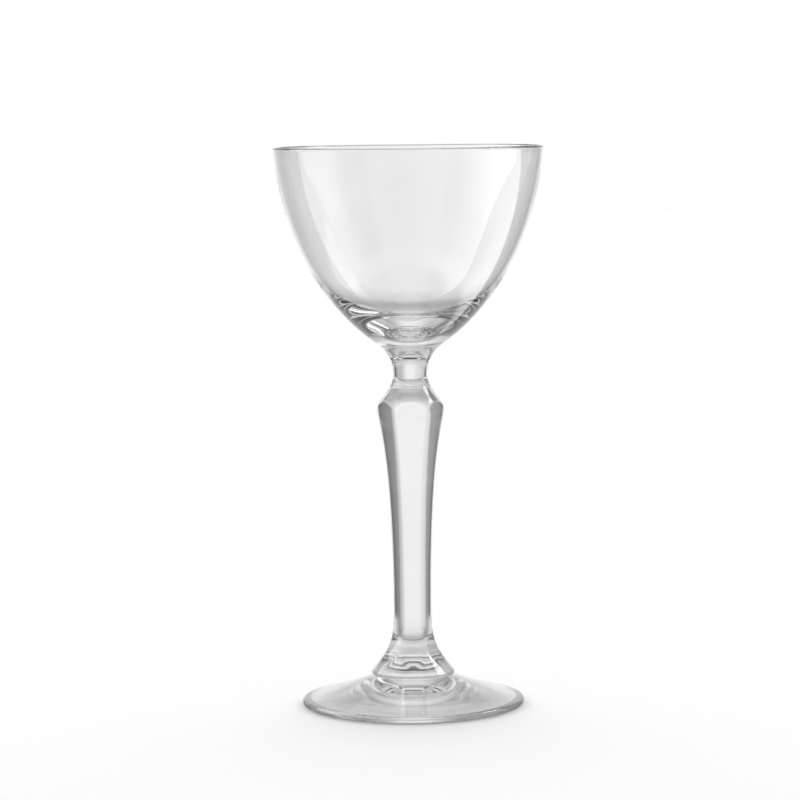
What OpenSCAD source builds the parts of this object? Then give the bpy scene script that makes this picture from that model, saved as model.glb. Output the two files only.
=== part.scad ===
// Nick and nora glass: a clear stemmed cocktail glass with a deep bowl, a six-sided stem and a round foot.
// Lengths are in millimetres. Up is +Z, and the origin is at the middle of the ring the glass stands on.

/* [Foot] */
// Width across the foot at its rounded edge
foot_d = 63.5; // [56:0.5:90]
// Height of the flat seat on the foot that the stem is fused to
foot_h = 8.4; // [7:0.1:12]
// Thickness of the foot at its rounded edge
foot_edge_t = 1.95; // [1.4:0.05:3]
// Width of the flat ring that rests on the table
foot_ring_w = 1.6; // [1:0.1:4]
// Rise of the shallow hollow under the foot at its middle
foot_hollow_h = 3.5; // [0.6:0.1:4.2]

/* [Stem] */
// Height of the stem from the foot to the bowl
stem_h = 90.8; // [70:0.2:150]
// Width across the lip at the bottom of the stem
lip_d = 23.8; // [20:0.1:30]
// Radius of the lip's rounded edge
lip_round = 0.75; // [0.4:0.05:1.2]
// Height of the stem's waist above the foot's seat
waist_h = 18.1; // [14:0.1:28]
// Width of the stem over its arrises at the waist
waist_d = 10.8; // [9:0.1:14]
// Depth of the stem's broad shoulder below the bowl
shoulder_drop = 14.4; // [12:0.1:20]
// Width of the stem over its arrises at the shoulder
shoulder_d = 19.1; // [15:0.1:24]
// Depth below the bowl of the crease between neck and shoulder
neck_drop = 5.2; // [3:0.1:8]
// Width of the round neck at that crease
neck_d = 9.8; // [8:0.1:12]
// Width of the fused joint between stem and bowl
joint_d = 11; // [9:0.1:14]
// Number of flat facets round the stem
facet_count = 6; // [6:2:8]
// Depth that the arrises between the facets are eased by
arris_ease = 0.27; // [0.1:0.01:0.6]

/* [Bowl] */
// Height of the bowl from the fused joint to the rim
bowl_h = 60.8; // [50:0.2:90]
// Width across the rim
rim_d = 76.9; // [60:0.1:100]
// Thickness of the wall at the rim
rim_wall = 1.35; // [1:0.05:2.5]
// Thickness of the solid glass under the cavity
base_t = 8.7; // [7:0.1:13]
// Width of the bowl where its side springs from the bell above the joint
bell_d = 20; // [16:0.2:26]
// Height of that bell above the joint
bell_h = 5; // [4:0.1:7]
// Overhang of the bowl past the stem at the joint
seam_step = 0.3; // [0.1:0.05:0.6]

/* [Hidden] */
foot_tint = [0.80, 0.86, 0.87, 0.6];
stem_tint = [0.84, 0.89, 0.90, 0.6];
bowl_tint = [0.88, 0.92, 0.93, 0.4];

// One overrun for the planes that pass beyond the stem
cut_over = 1;
// Steps in each long curve, in each small rounding and down each facet
curve_steps = 24;
round_steps = 6;
facet_steps = 13;

foot_r = foot_d / 2;
foot_edge_r = foot_edge_t / 2;
lip_r = lip_d / 2;
seat_r = lip_r - lip_round;
waist_r = waist_d / 2;
shoulder_r = shoulder_d / 2;
neck_r = neck_d / 2;
joint_r = joint_d / 2;
bell_r = bell_d / 2;
rim_r = rim_d / 2;
rim_round = rim_wall / 2;
cavity_r = rim_r - rim_wall;

waist_z = foot_h + waist_h;
joint_z = foot_h + stem_h;
shoulder_z = joint_z - shoulder_drop;
crease_z = joint_z - neck_drop;
seam_z = joint_z + seam_step;
bell_z = joint_z + bell_h;
cavity_z = joint_z + base_t;
rim_z = joint_z + bowl_h - rim_round;

// Angles above the level at which the foot's edge and the stem's lip meet their slopes
foot_edge_turn = 74;
lip_turn = 39;

// Handles of the curves, as [across, up] shares of the stretch that each curve covers
hollow_shares = [[0.40, 0], [0.70, 0.38]];
foot_top_shares = [[0.33, 0.285], [0.67, 0.56]];
flare_shares = [[0.79, 0.36], [1, 0.505]];
shaft_shares = [[0, 0.80], [1, 0.935]];
shoulder_shares = [[0, 0.40], [0.73, 0.45]];
neck_shares = [[0, 0.35], [0.10, 0.62]];
bell_shares = [[0.36, 0.62], [0.70, 0.80]];
side_shares = [[0.827, 0.309], [0.974, 0.828]];
cavity_side_shares = [[0.984, 0.780], [0.819, 0.369]];
cavity_floor_shares = [[0.420, 0.085], [0.202, 0]];
// Where the cavity's side turns into its floor
cavity_turn_share = [0.555, 0.181];
// How much of the waist's height the facets take to rise from nothing at the lip to their full depth
fade_share = 0.34;

// A smooth curve that leaves a towards b and reaches d from c
function curve(a, b, c, d, steps = curve_steps) =
    [for (i = [0 : steps])
        let (t = i / steps, s = 1 - t)
        a * s ^ 3 + 3 * b * t * s ^ 2 + 3 * c * t ^ 2 * s + d * t ^ 3];

// The point at [across, up] shares of the way from a to d
function at(a, d, share) = [a.x + (d.x - a.x) * share.x, a.y + (d.y - a.y) * share.y];

// A smooth curve from a to d with its two handles given as shares
function between(a, d, shares, steps = curve_steps) =
    curve(a, at(a, d, shares[0]), at(a, d, shares[1]), d, steps);

// Points of an arc round a centre
function arc(centre, radius, from, to, steps) =
    [for (i = [0 : steps])
        let (turn = from + (to - from) * i / steps)
        centre + radius * [cos(turn), sin(turn)]];

// A list without its first point, where the list before it already ends there
function after(points) = [for (i = [1 : len(points) - 1]) points[i]];

// A list without its last point
function short_of(points) = [for (i = [0 : len(points) - 2]) points[i]];

// Foot: the hollow, the flat ring, the rounded edge and the slope up to the seat
foot_edge_at = [foot_r - foot_edge_r, foot_edge_r];
ring_in = [foot_edge_at.x - foot_ring_w, 0];
foot_slope_out = foot_edge_at + foot_edge_r * [cos(foot_edge_turn), sin(foot_edge_turn)];
seat_out = [seat_r, foot_h];
foot_outline = concat(
    between([0, foot_hollow_h], ring_in, hollow_shares),
    arc(foot_edge_at, foot_edge_r, -90, foot_edge_turn, 2 * round_steps),
    after(between(foot_slope_out, seat_out, foot_top_shares)),
    [[0, foot_h]]);

// Stem, round: the lip, the flare, the shaft over its arrises, the shoulder and the neck
lip_at = [lip_r - lip_round, foot_h + lip_round];
flare_out = lip_at + lip_round * [cos(lip_turn), sin(lip_turn)];
waist_at = [waist_r, waist_z];
shoulder_at = [shoulder_r, shoulder_z];
crease_at = [neck_r, crease_z];
stem_outline = concat(
    [[0, foot_h]],
    arc(lip_at, lip_round, -90, lip_turn, 2 * round_steps),
    after(between(flare_out, waist_at, flare_shares)),
    after(between(waist_at, shoulder_at, shaft_shares)),
    after(between(shoulder_at, crease_at, shoulder_shares)),
    after(between(crease_at, [joint_r, joint_z], neck_shares)),
    [[0, joint_z]]);

// Stem, flat: how far each facet stands from the middle, from the lip up past the shoulder.
// The steps miss the waist and the shoulder, so that no facet's line falls on a ring of the round stem.
function rise(share) = share ^ 2 * (3 - 2 * share);
function faded(z) = rise(min(1, (z - flare_out.y) / (waist_h * fade_share)));
function facet_x(at) = (at.x + arris_ease) * (1 - faded(at.y) * (1 - cos(180 / facet_count)));
function facets(points) = [for (p = points) [facet_x(p), p.y]];
facet_side = concat(
    [[lip_r + cut_over, foot_h - cut_over]],
    short_of(facets(between(flare_out, waist_at, flare_shares, facet_steps))),
    short_of(after(facets(between(waist_at, shoulder_at, shaft_shares, facet_steps)))),
    [[facet_x(shoulder_at), joint_z + cut_over]]);
facet_outline = concat(
    facet_side,
    [for (i = [len(facet_side) - 1 : -1 : 0]) [-facet_side[i].x, facet_side[i].y]]);

// Bowl: the joint, the bell, the side, the rounded rim, and back down the cavity to its floor
function in_cavity(share) = at([0, cavity_z], [cavity_r, rim_z], share);
bell_at = [bell_r, bell_z];
cavity_turn_at = in_cavity(cavity_turn_share);
bowl_outline = concat(
    [[0, joint_z]],
    arc([joint_r, seam_z], seam_step, -90, 0, round_steps),
    after(between([joint_r + seam_step, seam_z], bell_at, bell_shares)),
    after(between(bell_at, [rim_r, rim_z], side_shares)),
    after(arc([rim_r - rim_round, rim_z], rim_round, 0, 180, 2 * round_steps)),
    after(curve([cavity_r, rim_z],
                in_cavity(cavity_side_shares[0]),
                in_cavity(cavity_side_shares[1]),
                cavity_turn_at)),
    after(curve(cavity_turn_at,
                in_cavity(cavity_floor_shares[0]),
                in_cavity(cavity_floor_shares[1]),
                [0, cavity_z])));

module turned(outline) {
    rotate_extrude($fn = 96)
        polygon(outline);
}

// Two opposite facets, as the space between their planes
module facet_pair(turn) {
    rotate([90, 0, turn])
        linear_extrude(height = 2 * lip_d, center = true)
            polygon(facet_outline);
}

module foot() {
    color(foot_tint)
        turned(foot_outline);
}

// One facet faces the front
module stem() {
    color(stem_tint)
        intersection() {
            turned(stem_outline);
            intersection_for(i = [0 : facet_count / 2 - 1])
                facet_pair(90 + i * 360 / facet_count);
        }
}

module bowl() {
    color(bowl_tint)
        turned(bowl_outline);
}

foot();
stem();
bowl();
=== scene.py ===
import math

import bpy
from mathutils import Matrix, Vector


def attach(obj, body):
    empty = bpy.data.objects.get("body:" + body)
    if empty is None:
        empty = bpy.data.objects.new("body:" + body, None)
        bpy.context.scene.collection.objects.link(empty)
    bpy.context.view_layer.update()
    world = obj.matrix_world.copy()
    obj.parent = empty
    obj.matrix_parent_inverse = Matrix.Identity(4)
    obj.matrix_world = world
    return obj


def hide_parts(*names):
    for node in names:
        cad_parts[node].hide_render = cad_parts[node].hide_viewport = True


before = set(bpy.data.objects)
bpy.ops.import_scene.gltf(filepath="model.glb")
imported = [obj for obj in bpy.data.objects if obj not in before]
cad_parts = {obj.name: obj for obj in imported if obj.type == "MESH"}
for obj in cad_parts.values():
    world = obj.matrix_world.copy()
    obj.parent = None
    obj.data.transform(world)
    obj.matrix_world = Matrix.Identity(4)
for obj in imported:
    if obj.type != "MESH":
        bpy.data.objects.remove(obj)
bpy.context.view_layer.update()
print("frame loaded")

# Sizes of the glass are in millimetres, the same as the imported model's. Floor and camera are in metres.
mm = 0.001

# The two fused joints: the height where the pieces meet, and the radius inside which their faces are one
seamJoint = {
    "height": 99.2,
    "radius": 5.5,
    "fusedRadius": 3.6,
    "fusedRows": 3,
    "edgeRows": 2,
}
footJoint = {
    "height": 8.4,
    "fusedRadius": 10.2,
    "fusedRows": 5,
    "edgeRows": 2,
}

# Outlines are lists of (radius, height). Two points closer than this are one.
samePoint = 1e-6


def at(a, d, share):
    return (a[0] + (d[0] - a[0]) * share[0], a[1] + (d[1] - a[1]) * share[1])


def curve(a, b, c, d, rows):
    points = []
    for i in range(rows + 1):
        t = i / rows
        s = 1 - t
        weights = (s**3, 3 * t * s * s, 3 * t * t * s, t**3)
        points.append(tuple(sum(weights[j] * p[axis] for j, p in enumerate((a, b, c, d))) for axis in (0, 1)))
    return points


def between(a, d, shares, rows):
    return curve(a, at(a, d, shares[0]), at(a, d, shares[1]), d, rows)


def arc(centre, radius, start, stop, rows):
    points = []
    for i in range(rows + 1):
        angle = math.radians(start + (stop - start) * i / rows)
        points.append((centre[0] + radius * math.cos(angle), centre[1] + radius * math.sin(angle)))
    return points


def line(a, b, rows):
    return [at(a, b, (i / rows, i / rows)) for i in range(rows + 1)]


def joined(*stretches):
    points = list(stretches[0])
    for stretch in stretches[1:]:
        points += stretch[1:] if math.dist(points[-1], stretch[0]) < samePoint else stretch
    return points


def radiusAt(points, height):
    for (r0, z0), (r1, z1) in zip(points, points[1:]):
        if z0 <= height <= z1 and z1 > z0:
            return r0 + (r1 - r0) * (height - z0) / (z1 - z0)
    return points[-1][0] if height > points[-1][1] else points[0][0]


# A keyword is a socket's name, with _ for a space, or i and the socket's number
def node(tree, kind, operation=None, **inputs):
    made = tree.nodes.new(kind)
    if operation:
        made.operation = operation
    for key, value in inputs.items():
        numbered = key[0] == "i" and key[1:].isdigit()
        socket = made.inputs[int(key[1:])] if numbered else made.inputs[key.replace("_", " ")]
        if isinstance(value, bpy.types.NodeSocket):
            tree.links.new(value, socket)
        else:
            socket.default_value = value
    return made


def maths(tree, operation, *values, clamp=False):
    made = node(tree, "ShaderNodeMath", operation, **{f"i{k}": v for k, v in enumerate(values)})
    made.use_clamp = clamp
    return made.outputs[0]


def ranged(tree, value, span, levels):
    made = node(tree, "ShaderNodeMapRange", Value=value, i1=span[0], i2=span[1], i3=levels[0], i4=levels[1])
    return made.outputs[0]


def sampled(tree, geometry, kind, field, index):
    made = tree.nodes.new("GeometryNodeSampleIndex")
    made.data_type = kind
    tree.links.new(geometry, made.inputs["Geometry"])
    tree.links.new(field, made.inputs["Value"])
    tree.links.new(index, made.inputs["Index"])
    return made.outputs["Value"]


# The node group that turns an outline round +Z and cuts flat sides where the outline asks for them
weldDistance = 2e-6
turning = bpy.data.node_groups.new("Turned body", "GeometryNodeTree")
for name, kind in (("Geometry", "NodeSocketGeometry"), ("Steps Round", "NodeSocketInt"), ("Rows", "NodeSocketInt"),
                   ("Flat Sides", "NodeSocketInt"), ("Arris Blend", "NodeSocketFloat"),
                   ("Facet Swell", "NodeSocketFloat"), ("Sharp Angle", "NodeSocketFloat"),
                   ("Material", "NodeSocketMaterial")):
    turning.interface.new_socket(name, in_out="INPUT", socket_type=kind)
turning.interface.new_socket("Geometry", in_out="OUTPUT", socket_type="NodeSocketGeometry")

# A flat grid, whose X runs round the piece and whose Y runs along the outline
source = turning.nodes.new("NodeGroupInput").outputs
position = turning.nodes.new("GeometryNodeInputPosition").outputs[0]
columns = maths(turning, "ADD", source["Steps Round"], 1)
grid = node(turning, "GeometryNodeMeshGrid", Size_X=1.0, Size_Y=1.0, Vertices_X=columns, Vertices_Y=source["Rows"])
place = node(turning, "ShaderNodeSeparateXYZ", Vector=position).outputs
lastRow = maths(turning, "SUBTRACT", source["Rows"], 1)
row = maths(turning, "ROUND", maths(turning, "MULTIPLY", maths(turning, "ADD", place["Y"], 0.5), lastRow))
turn = maths(turning, "MULTIPLY", maths(turning, "ADD", place["X"], 0.5), 2 * math.pi)
outline = sampled(turning, source["Geometry"], "FLOAT_VECTOR", position, row)
outlineParts = node(turning, "ShaderNodeSeparateXYZ", Vector=outline).outputs

# The flat side at each point, swollen a little in its middle and blended into the round outline
flatName = turning.nodes.new("GeometryNodeInputNamedAttribute")
flatName.data_type = "FLOAT"
flatName.inputs["Name"].default_value = "flat"
flat = sampled(turning, source["Geometry"], "FLOAT", flatName.outputs[0], row)
halfSide = maths(turning, "DIVIDE", math.pi, source["Flat Sides"])
offFlat = maths(turning, "WRAP", maths(turning, "ADD", turn, math.pi / 2), halfSide,
                maths(turning, "MULTIPLY", halfSide, -1.0))
fromMiddle = maths(turning, "DIVIDE", offFlat, halfSide)
swell = maths(turning, "MULTIPLY", source["Facet Swell"],
              maths(turning, "SUBTRACT", 1.0, maths(turning, "MULTIPLY", fromMiddle, fromMiddle)))
flatRadius = maths(turning, "DIVIDE", maths(turning, "ADD", flat, swell), maths(turning, "COSINE", offFlat))
radius = maths(turning, "SMOOTH_MIN", outlineParts["X"], flatRadius, source["Arris Blend"])
radius = maths(turning, "MAXIMUM", radius, 0.0)
placed = node(turning, "ShaderNodeCombineXYZ",
              X=maths(turning, "MULTIPLY", radius, maths(turning, "COSINE", turn)),
              Y=maths(turning, "MULTIPLY", radius, maths(turning, "SINE", turn)),
              Z=outlineParts["Z"]).outputs[0]
shaped = node(turning, "GeometryNodeSetPosition", Geometry=grid.outputs["Mesh"], Position=placed)
welded = node(turning, "GeometryNodeMergeByDistance", Geometry=shaped.outputs[0], Distance=weldDistance)

# Smooth shading everywhere, with sharp edges kept where the surface bends more than the sharp angle
smooth = turning.nodes.new("GeometryNodeSetShadeSmooth")
smooth.domain = "EDGE"
bend = turning.nodes.new("GeometryNodeInputMeshEdgeAngle").outputs[0]
gentle = turning.nodes.new("FunctionNodeCompare")
gentle.operation = "LESS_THAN"
turning.links.new(bend, gentle.inputs["A"])
turning.links.new(source["Sharp Angle"], gentle.inputs["B"])
turning.links.new(welded.outputs[0], smooth.inputs["Geometry"])
turning.links.new(gentle.outputs[0], smooth.inputs["Shade Smooth"])
allSmooth = node(turning, "GeometryNodeSetShadeSmooth", Geometry=smooth.outputs[0], Shade_Smooth=True)
realized = node(turning, "GeometryNodeRealizeInstances", Geometry=allSmooth.outputs[0])
painted = node(turning, "GeometryNodeSetMaterial", Geometry=realized.outputs[0], Material=source["Material"])
turning.links.new(painted.outputs[0], turning.nodes.new("NodeGroupOutput").inputs[0])

# Where a piece has no flat sides they stand this far out, and a face this near a joint's height lies in the joint
noFlat = 1000.0
levelSlack = 0.01


def turned(name, outline, material, fused, steps, flats=None, sides=8, blend=0.0, swell=0.0, sharp=28):
    data = bpy.data.meshes.new(name + "Outline")
    data.from_pydata([(r * mm, 0, z * mm) for r, z in outline], [(i, i + 1) for i in range(len(outline) - 1)], [])
    attribute = data.attributes.new("flat", "FLOAT", "POINT")
    attribute.data.foreach_set("value", [f * mm for f in flats or [noFlat] * len(outline)])
    shell = bpy.data.objects.new(name + "Outline", data)
    bpy.context.scene.collection.objects.link(shell)
    modifier = shell.modifiers.new("Turned body", "NODES")
    modifier.node_group = turning
    wanted = {
        "Steps Round": steps,
        "Rows": len(outline),
        "Flat Sides": sides,
        "Arris Blend": blend * mm,
        "Facet Swell": swell * mm,
        "Sharp Angle": math.radians(sharp),
        "Material": material,
    }
    for item in turning.interface.items_tree:
        if item.in_out == "INPUT" and item.name in wanted:
            modifier[item.identifier] = wanted[item.name]
    evaluated = shell.evaluated_get(bpy.context.evaluated_depsgraph_get())
    mesh = bpy.data.meshes.new_from_object(evaluated)
    mesh.name = name
    bpy.data.objects.remove(shell)
    bpy.data.meshes.remove(data)
    for layer in [a for a in mesh.attributes if a.name == "flat"]:
        mesh.attributes.remove(layer)
    mesh.materials.clear()
    mesh.materials.append(material)
    mesh.materials.append(fusedGlass)
    # The flat faces that are one with the next piece don't show
    for face in mesh.polygons:
        for joint in fused:
            level = abs(face.center.z - joint["height"] * mm) < levelSlack * mm
            if level and math.hypot(face.center.x, face.center.y) < joint["fusedRadius"] * mm:
                face.material_index = 1
    made = bpy.data.objects.new(name, mesh)
    bpy.context.scene.collection.objects.link(made)
    return made


# Glass
glassLook = {
    "ior": 1.52,
    "waveDetail": 1.0,
    "waveRoughness": 0.4,
    "fineShare": 5,  # how much finer the fine noise is than the waves
    "fineDetail": 2.0,
    "noiseSpan": (0.3, 0.7),
    "roughness": 0.012,
    "deepTint": (0.948, 0.951, 0.948, 1),
    "paleTint": (0.968, 0.970, 0.968, 1),
    # In metres: the surface under the foot lies below this slope and inside this reach, and is soft further out
    "underSlope": -0.14,
    "underHeight": 0.0048,
    "underReach": 0.0295,
    "softSpan": (0.009, 0.014),
}
fusedGlass = bpy.data.materials.new("Fused glass")
fusedGlass.use_nodes = True
fusedShader = fusedGlass.node_tree.nodes["Principled BSDF"]
fusedShader.inputs["Alpha"].default_value = 0.0
fusedShader.inputs["Roughness"].default_value = 0.0


def surfaceGroup(name, look):
    group = bpy.data.node_groups.new(name, "ShaderNodeTree")
    for out, kind in (("Height", "NodeSocketFloat"), ("Roughness", "NodeSocketFloat"), ("Colour", "NodeSocketColor")):
        group.interface.new_socket(out, in_out="OUTPUT", socket_type=kind)
    place = group.nodes.new("ShaderNodeTexCoord").outputs["Object"]
    waves = node(group, "ShaderNodeTexNoise", Vector=place, Scale=look["waveScale"],
                 Detail=glassLook["waveDetail"], Roughness=glassLook["waveRoughness"]).outputs[0]
    fine = node(group, "ShaderNodeTexNoise", Vector=place, Scale=look["waveScale"] * glassLook["fineShare"],
                Detail=glassLook["fineDetail"]).outputs[0]
    height = maths(group, "ADD", maths(group, "MULTIPLY", waves, look["waveDepth"]),
                   maths(group, "MULTIPLY", fine, look["fineDepth"]))
    rough = ranged(group, fine, glassLook["noiseSpan"], (0.0, glassLook["roughness"]))
    parts = node(group, "ShaderNodeSeparateXYZ", Vector=place).outputs
    reach = maths(group, "SQRT", maths(group, "ADD", maths(group, "MULTIPLY", parts["X"], parts["X"]),
                                       maths(group, "MULTIPLY", parts["Y"], parts["Y"])))
    slope = maths(group, "MULTIPLY_ADD", reach, glassLook["underSlope"], glassLook["underHeight"])
    under = maths(group, "MULTIPLY", maths(group, "LESS_THAN", parts["Z"], slope),
                  maths(group, "LESS_THAN", reach, glassLook["underReach"]))
    soft = ranged(group, reach, glassLook["softSpan"], (0.0, look["underRough"]))
    rough = maths(group, "MAXIMUM", rough, maths(group, "MULTIPLY", under, soft))
    tint = ranged(group, waves, glassLook["noiseSpan"], (0.0, 1.0))
    mix = group.nodes.new("ShaderNodeMix")
    mix.data_type = "RGBA"
    group.links.new(tint, mix.inputs["Factor"])
    mix.inputs["A"].default_value = glassLook["deepTint"]
    mix.inputs["B"].default_value = glassLook["paleTint"]
    ends = group.nodes.new("NodeGroupOutput")
    group.links.new(height, ends.inputs["Height"])
    group.links.new(rough, ends.inputs["Roughness"])
    group.links.new(mix.outputs["Result"], ends.inputs["Colour"])
    return group


def glass(name, look):
    material = bpy.data.materials.new(name)
    material.use_nodes = True
    tree = material.node_tree
    shader = tree.nodes["Principled BSDF"]
    surface = tree.nodes.new("ShaderNodeGroup")
    surface.node_tree = surfaceGroup(name + " surface", look)
    bump = node(tree, "ShaderNodeBump", Strength=1.0, Distance=1.0, Height=surface.outputs["Height"])
    shader.inputs["Transmission Weight"].default_value = 1.0
    shader.inputs["IOR"].default_value = glassLook["ior"]
    tree.links.new(surface.outputs["Colour"], shader.inputs["Base Color"])
    tree.links.new(surface.outputs["Roughness"], shader.inputs["Roughness"])
    tree.links.new(bump.outputs["Normal"], shader.inputs["Normal"])
    return material


# Bowl. Shares place a curve's two handles, as parts of the way across and up from its start to its end.
bowl = {
    "seamStep": 0.3,
    "bellHeight": 104.2,
    "bellRadius": 10.0,
    "bellShares": ((0.36, 0.62), (0.70, 0.80)),
    "sideShares": ((0.827, 0.309), (0.974, 0.828)),
    "rimHeight": 159.325,  # of the middle of the rim's rounding
    "rimRadius": 38.45,
    "rimWall": 1.35,
    "cavityHeight": 107.9,
    "cavityTurn": (20.6, 117.2),
    "cavitySide": ((36.5, 148.0), (30.4, 126.9)),
    "cavityFloor": ((15.6, 112.27), (7.5, 107.9)),
    "seamRows": 6,
    "bellRows": 24,
    "sideRows": 110,
    "rimRows": 16,
    "cavityRows": 90,
    "floorRows": 60,
    "stepsRound": 256,
    "waveScale": 60,
    "waveDepth": 3e-6,
    "fineDepth": 1e-7,
    "underRough": 0.0,
}
joint = (0, seamJoint["height"])
jointEdge = (seamJoint["radius"], seamJoint["height"])
jointFused = (seamJoint["fusedRadius"], seamJoint["height"])
rimRound = bowl["rimWall"] / 2
cavityRadius = bowl["rimRadius"] - bowl["rimWall"]
seam = (seamJoint["radius"] + bowl["seamStep"], seamJoint["height"] + bowl["seamStep"])
bell = (bowl["bellRadius"], bowl["bellHeight"])
rim = (bowl["rimRadius"], bowl["rimHeight"])
cavityLow, cavityRim = (0, bowl["cavityHeight"]), (cavityRadius, bowl["rimHeight"])
bowlOutline = joined(
    line(joint, jointFused, seamJoint["fusedRows"]),
    line(jointFused, jointEdge, seamJoint["edgeRows"]),
    arc((seamJoint["radius"], seam[1]), bowl["seamStep"], -90, 0, bowl["seamRows"]),
    between(seam, bell, bowl["bellShares"], bowl["bellRows"]),
    between(bell, rim, bowl["sideShares"], bowl["sideRows"]),
    arc((bowl["rimRadius"] - rimRound, bowl["rimHeight"]), rimRound, 0, 180, bowl["rimRows"]),
    curve(cavityRim, *bowl["cavitySide"], bowl["cavityTurn"], bowl["cavityRows"]),
    curve(bowl["cavityTurn"], *bowl["cavityFloor"], cavityLow, bowl["floorRows"]),
)
bowlPiece = turned("bowl_glass_body", bowlOutline, glass("Bowl glass", bowl), [seamJoint], bowl["stepsRound"])
print("bowl made", len(bowlPiece.data.polygons))

# Stem
stem = {
    "lipRadius": 11.9,
    "lipRound": 0.75,
    "lipTurn": 39,
    "waistHeight": 26.5,
    "waistRadius": 5.4,
    "flareShares": ((0.79, 0.36), (1, 0.505)),
    "shoulderHeight": 84.8,
    "shoulderRadius": 9.55,
    "shaftShares": ((0, 0.80), (1, 0.935)),
    "creaseHeight": 94.0,
    "shoulderShares": ((0, 0.40), (0.73, 0.45)),
    "neckRadius": 4.9,
    "neckShares": ((0, 0.35), (0.10, 0.62)),
    "creaseDepth": 0.03,
    "facets": 6,
    "arrisEase": 0.27,
    "arrisBlend": 0.45,
    "facetSwell": 0.12,
    "fadeRise": 6.4,  # height over which the facets rise from nothing at the lip to their full depth
    "facetPast": 1,  # how far the facets' planes pass the stem's ends
    "lipRows": 12,
    "flareRows": 60,
    "shaftRows": 110,
    "shoulderRows": 44,
    "neckRows": 24,
    "stepsRound": 240,
    "waveScale": 90,
    "waveDepth": 5e-6,
    "fineDepth": 1.5e-7,
    "underRough": 0.0,
}
lip = (stem["lipRadius"] - stem["lipRound"], footJoint["height"] + stem["lipRound"])
lipTurn = math.radians(stem["lipTurn"])
flareOut = (lip[0] + stem["lipRound"] * math.cos(lipTurn), lip[1] + stem["lipRound"] * math.sin(lipTurn))
waist = (stem["waistRadius"], stem["waistHeight"])
shoulder = (stem["shoulderRadius"], stem["shoulderHeight"])
crease = (stem["neckRadius"], stem["creaseHeight"])
neckTop = (jointEdge[0], jointEdge[1] - stem["creaseDepth"])
lipFused = (footJoint["fusedRadius"], footJoint["height"])
flareCurve = between(flareOut, waist, stem["flareShares"], stem["flareRows"])
shaftCurve = between(waist, shoulder, stem["shaftShares"], stem["shaftRows"])
stemOutline = joined(
    line((0, footJoint["height"]), lipFused, footJoint["fusedRows"]),
    line(lipFused, (lip[0], footJoint["height"]), footJoint["edgeRows"]),
    arc(lip, stem["lipRound"], -90, stem["lipTurn"], stem["lipRows"]),
    flareCurve,
    shaftCurve,
    between(shoulder, crease, stem["shoulderShares"], stem["shoulderRows"]),
    between(crease, neckTop, stem["neckShares"], stem["neckRows"]),
    line(neckTop, (jointFused[0], neckTop[1]), seamJoint["edgeRows"]),
    line(jointFused, joint, seamJoint["fusedRows"]),
)
across = math.cos(math.pi / stem["facets"])


# How far a facet stands from the middle where the round stem has this radius
def facetAt(radius, height):
    rise = min(1, (height - flareOut[1]) / stem["fadeRise"])
    return (radius + stem["arrisEase"]) * (1 - rise * rise * (3 - 2 * rise) * (1 - across)), height


flatOutline = joined(
    [(stem["lipRadius"] + stem["facetPast"], footJoint["height"] - stem["facetPast"])],
    [facetAt(r, z) for r, z in flareCurve],
    [facetAt(r, z) for r, z in shaftCurve],
    [(facetAt(*shoulder)[0], seamJoint["height"] + stem["facetPast"])],
)
stemPiece = turned("stem_glass_body", stemOutline, glass("Stem glass", stem), [footJoint, seamJoint],
                   stem["stepsRound"], [radiusAt(flatOutline, z) for r, z in stemOutline], stem["facets"],
                   stem["arrisBlend"], stem["facetSwell"])
print("stem made", len(stemPiece.data.polygons))

# Foot
foot = {
    "radius": 31.75,
    "edgeRadius": 0.975,
    "edgeTurn": 74,
    "ringWidth": 1.6,
    "hollow": 3.5,
    "hollowShares": ((0.40, 0), (0.70, 0.38)),
    "topShares": ((0.33, 0.285), (0.67, 0.56)),
    "seatRadius": 11.15,
    "creaseDepth": 0.05,
    "hollowRows": 60,
    "ringRows": 4,
    "edgeRows": 24,
    "topRows": 60,
    "stepsRound": 256,
    "waveScale": 70,
    "waveDepth": 4e-6,
    "fineDepth": 1e-7,
    "underRough": 0.10,
}
edge = (foot["radius"] - foot["edgeRadius"], foot["edgeRadius"])
edgeTurn = math.radians(foot["edgeTurn"])
slopeOut = (edge[0] + foot["edgeRadius"] * math.cos(edgeTurn), edge[1] + foot["edgeRadius"] * math.sin(edgeTurn))
ringIn = (edge[0] - foot["ringWidth"], 0)
seat = (foot["seatRadius"], footJoint["height"] - foot["creaseDepth"])
footOutline = joined(
    between((0, foot["hollow"]), ringIn, foot["hollowShares"], foot["hollowRows"]),
    line(ringIn, (edge[0], 0), foot["ringRows"]),
    arc(edge, foot["edgeRadius"], -90, foot["edgeTurn"], foot["edgeRows"]),
    between(slopeOut, seat, foot["topShares"], foot["topRows"]),
    line(seat, (lipFused[0], seat[1]), footJoint["edgeRows"]),
    line(lipFused, (0, footJoint["height"]), footJoint["fusedRows"]),
)
footPiece = turned("foot_glass_body", footOutline, glass("Foot glass", foot), [footJoint], foot["stepsRound"])
print("foot made", len(footPiece.data.polygons))

for piece, cad in ((bowlPiece, "bowl"), (stemPiece, "stem"), (footPiece, "foot")):
    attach(piece, "root")
    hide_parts(cad)

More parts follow.
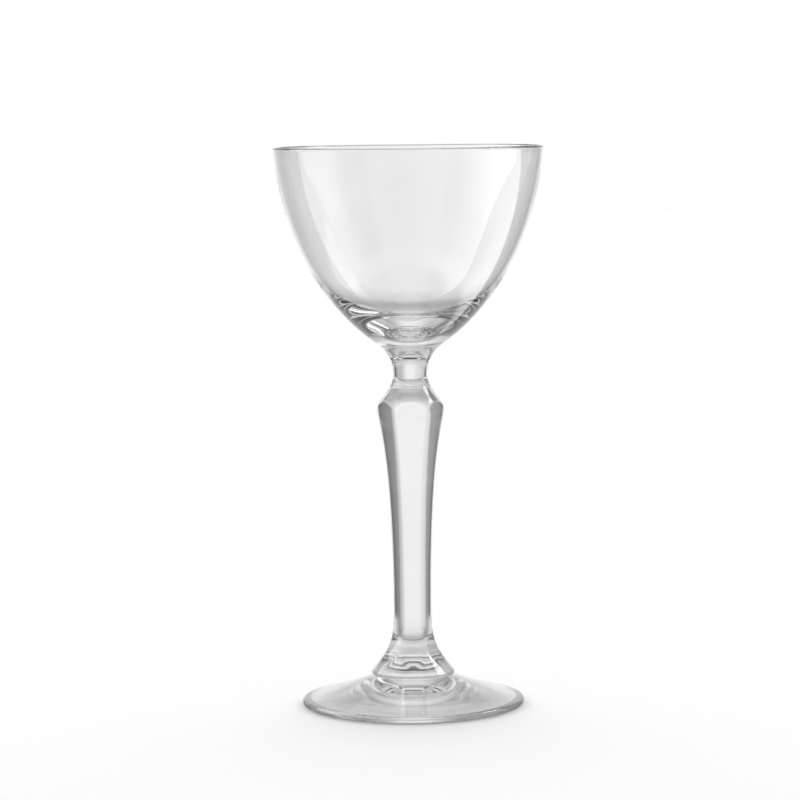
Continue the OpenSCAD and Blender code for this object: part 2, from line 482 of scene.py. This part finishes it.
# Floor, with an unseen disc just under the foot, seen only through the glass, whose colour is painted shade
ground = {
    "reach": 4,
    "colour": (0.9, 0.9, 0.9, 1),
    "discRadius": 0.036,
    "discHeight": -0.00002,
    "discCorners": 72,
    # Painted shade on the disc: its colour by distance from the middle, in metres
    "middleSpan": (0.007, 0.014),
    "middleShadeLevels": (0.9, 0.65),
    "edgeSpan": (0.026, 0.031),
    "edgeShadeLevels": (1.0, 0.2),
}
corners = [(x * ground["reach"], y * ground["reach"], 0) for x, y in ((-1, -1), (1, -1), (1, 1), (-1, 1))]
floorData = bpy.data.meshes.new("Floor")
floorData.from_pydata(corners, [], [(0, 1, 2, 3)])
floor = bpy.data.objects.new("Floor", floorData)
bpy.context.scene.collection.objects.link(floor)
floorWhite = bpy.data.materials.new("Floor white")
floorWhite.use_nodes = True
floorShader = floorWhite.node_tree.nodes["Principled BSDF"]
floorShader.inputs["Base Color"].default_value = ground["colour"]
floorShader.inputs["Roughness"].default_value = 1.0
floorShader.inputs["Specular IOR Level"].default_value = 0.0
floorData.materials.append(floorWhite)
floor.visible_transmission = False
floor.visible_glossy = False
discAngles = [k * math.pi / (ground["discCorners"] / 2) for k in range(ground["discCorners"])]
discRing = [(ground["discRadius"] * math.cos(a), ground["discRadius"] * math.sin(a), ground["discHeight"])
            for a in discAngles]
discData = bpy.data.meshes.new("FloorUnderFoot")
discData.from_pydata(discRing, [], [tuple(range(ground["discCorners"]))])
discShade = floorWhite.copy()
discShade.name = "Floor with painted shade"
discTree = discShade.node_tree
discPlace = discTree.nodes.new("ShaderNodeTexCoord").outputs["Object"]
discReach = node(discTree, "ShaderNodeVectorMath", "LENGTH", i0=discPlace).outputs["Value"]
# Painted shade: the disc's colour is 0.9 in the middle, 0.65 further out, and falls to 0.2 under the foot's edge
discMiddle = ranged(discTree, discReach, ground["middleSpan"], ground["middleShadeLevels"])
discEdge = ranged(discTree, discReach, ground["edgeSpan"], ground["edgeShadeLevels"])
discPaintedShade = maths(discTree, "MINIMUM", discMiddle, discEdge)
discTree.links.new(discPaintedShade, discTree.nodes["Principled BSDF"].inputs["Base Color"])
discData.materials.append(discShade)
disc = bpy.data.objects.new("FloorUnderFoot", discData)
bpy.context.scene.collection.objects.link(disc)
disc.visible_camera = False
disc.visible_diffuse = False
print("floor made")

# World: brightness by direction, in degrees, with azimuth 0 behind the glass as the main camera sees it.
# Each zone is a list of (azimuth, level), and takes over from the one below it between its From and To elevations.
studio = {
    "band": [(-180, 0.45), (-145, 0.45), (-138, 0.08), (-95, 0.08), (-50, 0.14), (-45, 0.24), (-40, 0.36),
             (-35, 0.45), (-30, 0.53), (-25, 0.66), (-20, 0.74), (-13, 0.83), (-7, 0.94), (7, 0.94), (13, 0.80),
             (20, 0.58), (25, 0.48), (30, 0.43), (35, 0.36), (40, 0.27), (45, 0.18), (55, 0.10), (95, 0.08),
             (138, 0.08), (145, 0.45), (180, 0.45)],
    "middle": [(-180, 0.80), (-147, 0.80), (-140, 0.20), (-110, 0.75), (-85, 0.95), (-76, 0.35), (-50, 0.35),
               (-30, 0.58), (0, 0.82), (30, 0.58), (50, 0.35), (72, 0.35), (82, 0.90), (110, 0.70), (140, 0.20),
               (147, 0.80), (180, 0.80)],
    "middleFrom": 7,
    "middleTo": 11,
    "raised": [(-180, 0.85), (-147, 0.85), (-140, 0.08), (-95, 0.10), (-60, 0.22), (-30, 0.40), (-20, 0.62),
               (0, 0.75), (20, 0.62), (28, 0.35), (36, 0.35), (38, 1.60), (84, 1.60), (88, 0.20), (95, 0.10),
               (140, 0.08), (147, 0.85), (180, 0.85)],
    "raisedFrom": 21,
    "raisedTo": 27,
    "top": [(-180, 0.95), (-147, 0.95), (-138, 0.20), (-60, 0.20), (-24, 0.12), (-14, 0.36), (0, 0.42),
            (14, 0.36), (24, 0.12), (60, 0.20), (138, 0.20), (147, 0.95), (180, 0.95)],
    "topFrom": 43,
    "topTo": 49,
    "crown": [(-180, 0.80), (180, 0.80)],
    "crownFrom": 57,
    "crownTo": 61,
    "zenith": [(-180, 0.08), (180, 0.08)],
    "zenithFrom": 66,
    "zenithTo": 70,
    # (elevation, share of the level above) below the horizon, and the ground's own level further down
    "low": [(-90, 0.40), (-60, 0.45), (-40, 0.66), (-32, 0.50), (-26, 0.50), (-20, 0.80), (-12, 1.0)],
    "ground": 0.80,
    "groundFrom": -52,
    "groundTo": -44,
    # The pale backdrop for light that goes straight through, by distance from azimuth 0: nearer for light that
    # crossed both walls of the bowl or looks down than for light that crossed one solid piece
    "clear": 0.88,
    "thinFrom": 34,
    "thinTo": 54,
    "thickFrom": 53,
    "thickTo": 62,
    "downFrom": -14,
    "downTo": -9,
    "thinDepth": 2.5,
    # What the glass's own surfaces mirror: the surroundings, and the pale sides beyond two tall edges
    "mirrored": [(-180, 0.35), (-110, 0.35), (-70, 0.20), (-40, 0.35), (-15, 1.0), (15, 1.0), (40, 0.35),
                 (70, 0.20), (110, 0.35), (180, 0.35)],
    "sides": [(-180, 0.9), (-150, 1.5), (-125, 2.4), (-110, 3.2), (-60, 3.2), (60, 1.5), (105, 1.5), (120, 1.35),
              (150, 1.0), (180, 0.9)],
    "leftEdge": -68,
    "leftSlant": -0.8,
    "rightEdge": 68,
    "edgeSoft": 0.6,
    "sideHeights": (1, 58, 1.0, 6.0),
    # Boxes of light: (from, to, softness of each end), how far they slant, and their level
    "nearHeights": (-50, -3, 4.0, 1.0),
    "nearRight": (73, 122, 0.6, 30.0),
    "nearRightSlant": -0.73,
    "nearRightLevel": 3.2,
    "nearLeft": (-115, -73, 12.0, 0.6),
    "nearLeftSlant": 0.0,
    "nearLeftLevel": 2.0,
    "keyHeights": (30, 46, 1.5, 1.5),
    "key": (62, 88, 2.0, 2.0),
    "keyLevel": 9.0,
    # What lights the floor
    "floorLight": 0.46,
    "floorBehind": 9.6,
    "behindFrom": 25,
    "behindTo": 45,
    "shadeLight": 0.3,
}
degrees = 180 / math.pi
firstOne = 0.5  # a count of bounces is under this before the first one
world = bpy.data.worlds.new("Studio")
bpy.context.scene.world = world
world.use_nodes = True
sky = world.node_tree
direction = node(sky, "ShaderNodeSeparateXYZ", Vector=sky.nodes.new("ShaderNodeTexCoord").outputs["Generated"]).outputs
azimuth = maths(sky, "MULTIPLY", maths(sky, "ARCTAN2", direction["X"], direction["Y"]), degrees)
elevation = maths(sky, "MULTIPLY", maths(sky, "ARCSINE", direction["Z"]), degrees)


def byStops(tree, value, stops):
    level = stops[0][1]
    for (fromAt, fromLevel), (toAt, toLevel) in zip(stops, stops[1:]):
        level = maths(tree, "ADD", level, ranged(tree, value, (fromAt, toAt), (0.0, toLevel - fromLevel)))
    return level


def eased(tree, value, start, stop):
    share = tree.nodes.new("ShaderNodeMapRange")
    share.interpolation_type = "SMOOTHSTEP"
    tree.links.new(value, share.inputs[0])
    share.inputs[1].default_value = start
    share.inputs[2].default_value = stop
    return share.outputs[0]


def toward(tree, base, target, share):
    return maths(tree, "ADD", base, maths(tree, "MULTIPLY", maths(tree, "SUBTRACT", target, base), share))


def inside(tree, value, low, high, lowSoft, highSoft):
    return maths(tree, "MULTIPLY", eased(tree, value, low - lowSoft, low + lowSoft),
                 maths(tree, "SUBTRACT", 1.0, eased(tree, value, high - highSoft, high + highSoft)))


# What light finds that has passed through the glass or turned round inside it
path = sky.nodes.new("ShaderNodeLightPath").outputs
level = byStops(sky, azimuth, studio["band"])
for zone in ("middle", "raised", "top", "crown", "zenith"):
    level = toward(sky, level, byStops(sky, azimuth, studio[zone]),
                   eased(sky, elevation, studio[zone + "From"], studio[zone + "To"]))
level = maths(sky, "MULTIPLY", level, byStops(sky, elevation, studio["low"]))
aboveGround = eased(sky, elevation, studio["groundFrom"], studio["groundTo"])
level = toward(sky, level, studio["ground"], maths(sky, "SUBTRACT", 1.0, aboveGround))

# Light that goes through the glass without a reflection inside finds a pale backdrop on every side
straight = maths(sky, "MULTIPLY", path["Is Transmission Ray"], maths(sky, "LESS_THAN", path["Glossy Depth"], firstOne))
fromBack = maths(sky, "ABSOLUTE", azimuth)
thin = maths(sky, "MAXIMUM", maths(sky, "GREATER_THAN", path["Transmission Depth"], studio["thinDepth"]),
             maths(sky, "SUBTRACT", 1.0, eased(sky, elevation, studio["downFrom"], studio["downTo"])))
sideways = maths(sky, "MAXIMUM", eased(sky, fromBack, studio["thickFrom"], studio["thickTo"]),
                 maths(sky, "MULTIPLY", thin, eased(sky, fromBack, studio["thinFrom"], studio["thinTo"])))
level = toward(sky, level, studio["clear"], maths(sky, "MULTIPLY", straight, sideways))

# What the surfaces mirror
mirrored = byStops(sky, azimuth, studio["mirrored"])
slanted = maths(sky, "MULTIPLY_ADD", elevation, studio["leftSlant"], azimuth)
leftEdge, rightEdge, edgeSoft = studio["leftEdge"], studio["rightEdge"], studio["edgeSoft"]
beyond = maths(sky, "SUBTRACT", 1.0, eased(sky, slanted, leftEdge - edgeSoft, leftEdge + edgeSoft))
beyond = maths(sky, "MAXIMUM", beyond, eased(sky, azimuth, rightEdge - edgeSoft, rightEdge + edgeSoft))
beyond = maths(sky, "MULTIPLY", beyond, inside(sky, elevation, *studio["sideHeights"]))
mirrored = toward(sky, mirrored, byStops(sky, azimuth, studio["sides"]), beyond)

# The boxes of light show only in the outer surface, not inside the glass
outerSurface = maths(sky, "LESS_THAN", path["Transmission Depth"], firstOne)
nearHeights = maths(sky, "MULTIPLY", inside(sky, elevation, *studio["nearHeights"]), outerSurface)
for box in ("nearRight", "nearLeft"):
    slanted = maths(sky, "MULTIPLY_ADD", elevation, studio[box + "Slant"], azimuth)
    shape = maths(sky, "MULTIPLY", nearHeights, inside(sky, slanted, *studio[box]))
    mirrored = toward(sky, mirrored, studio[box + "Level"], shape)
shape = maths(sky, "MULTIPLY", inside(sky, elevation, *studio["keyHeights"]), inside(sky, azimuth, *studio["key"]))
mirrored = toward(sky, mirrored, studio["keyLevel"], maths(sky, "MULTIPLY", shape, outerSurface))
level = toward(sky, level, mirrored, path["Is Reflection Ray"])

# The camera sees white, light inside the glass finds the levels above, and the floor is lit softly from behind
seen = toward(sky, level, 1.0, path["Is Camera Ray"])
seen = toward(sky, seen, studio["shadeLight"], eased(sky, path["Diffuse Depth"], 0.0, 1.0))
traced = path["Is Camera Ray"]
for kind in ("Is Glossy Ray", "Is Transmission Ray", "Is Reflection Ray", "Is Singular Ray"):
    traced = maths(sky, "MAXIMUM", traced, path[kind])
traced = maths(sky, "SUBTRACT", traced, path["Is Diffuse Ray"], clamp=True)
behind = maths(sky, "MAXIMUM", direction["Y"], 0.0)
behind = maths(sky, "MULTIPLY", maths(sky, "MULTIPLY", behind, behind),
               maths(sky, "SUBTRACT", 1.0, eased(sky, elevation, studio["behindFrom"], studio["behindTo"])))
onFloor = maths(sky, "MULTIPLY_ADD", behind, studio["floorBehind"], studio["floorLight"])
seen = toward(sky, onFloor, seen, traced)
background = sky.nodes["Background"]
background.inputs["Color"].default_value = (1, 1, 1, 1)
sky.links.new(seen, background.inputs["Strength"])

# Light takes many turns inside thick glass
throughGlass = 32
cycles = bpy.context.scene.cycles
cycles.max_bounces = 40
cycles.glossy_bounces = throughGlass
cycles.transmission_bounces = throughGlass
cycles.transparent_max_bounces = throughGlass
print("light made")

# Camera, looking down on the glass and turned a little on its own axis, as the photograph is
view = {
    "place": (-0.0030, -0.906, 0.1736),
    "down": 5.42,
    "roll": -0.6,
    "sensor": 36,
    "lens": 143.2,
    "nearest": 0.05,
    "farthest": 50,
}
lens = bpy.data.cameras.new("Camera")
lens.sensor_width = view["sensor"]
lens.lens = view["lens"]
lens.clip_start = view["nearest"]
lens.clip_end = view["farthest"]
camera = bpy.data.objects.new("Camera", lens)
camera.matrix_world = (Matrix.Translation(Vector(view["place"]))
                       @ Matrix.Rotation(math.radians(90 - view["down"]), 4, "X")
                       @ Matrix.Rotation(math.radians(view["roll"]), 4, "Z"))
bpy.context.scene.collection.objects.link(camera)
bpy.context.scene.camera = camera
bpy.context.scene.view_settings.view_transform = "Standard"
print("camera set")
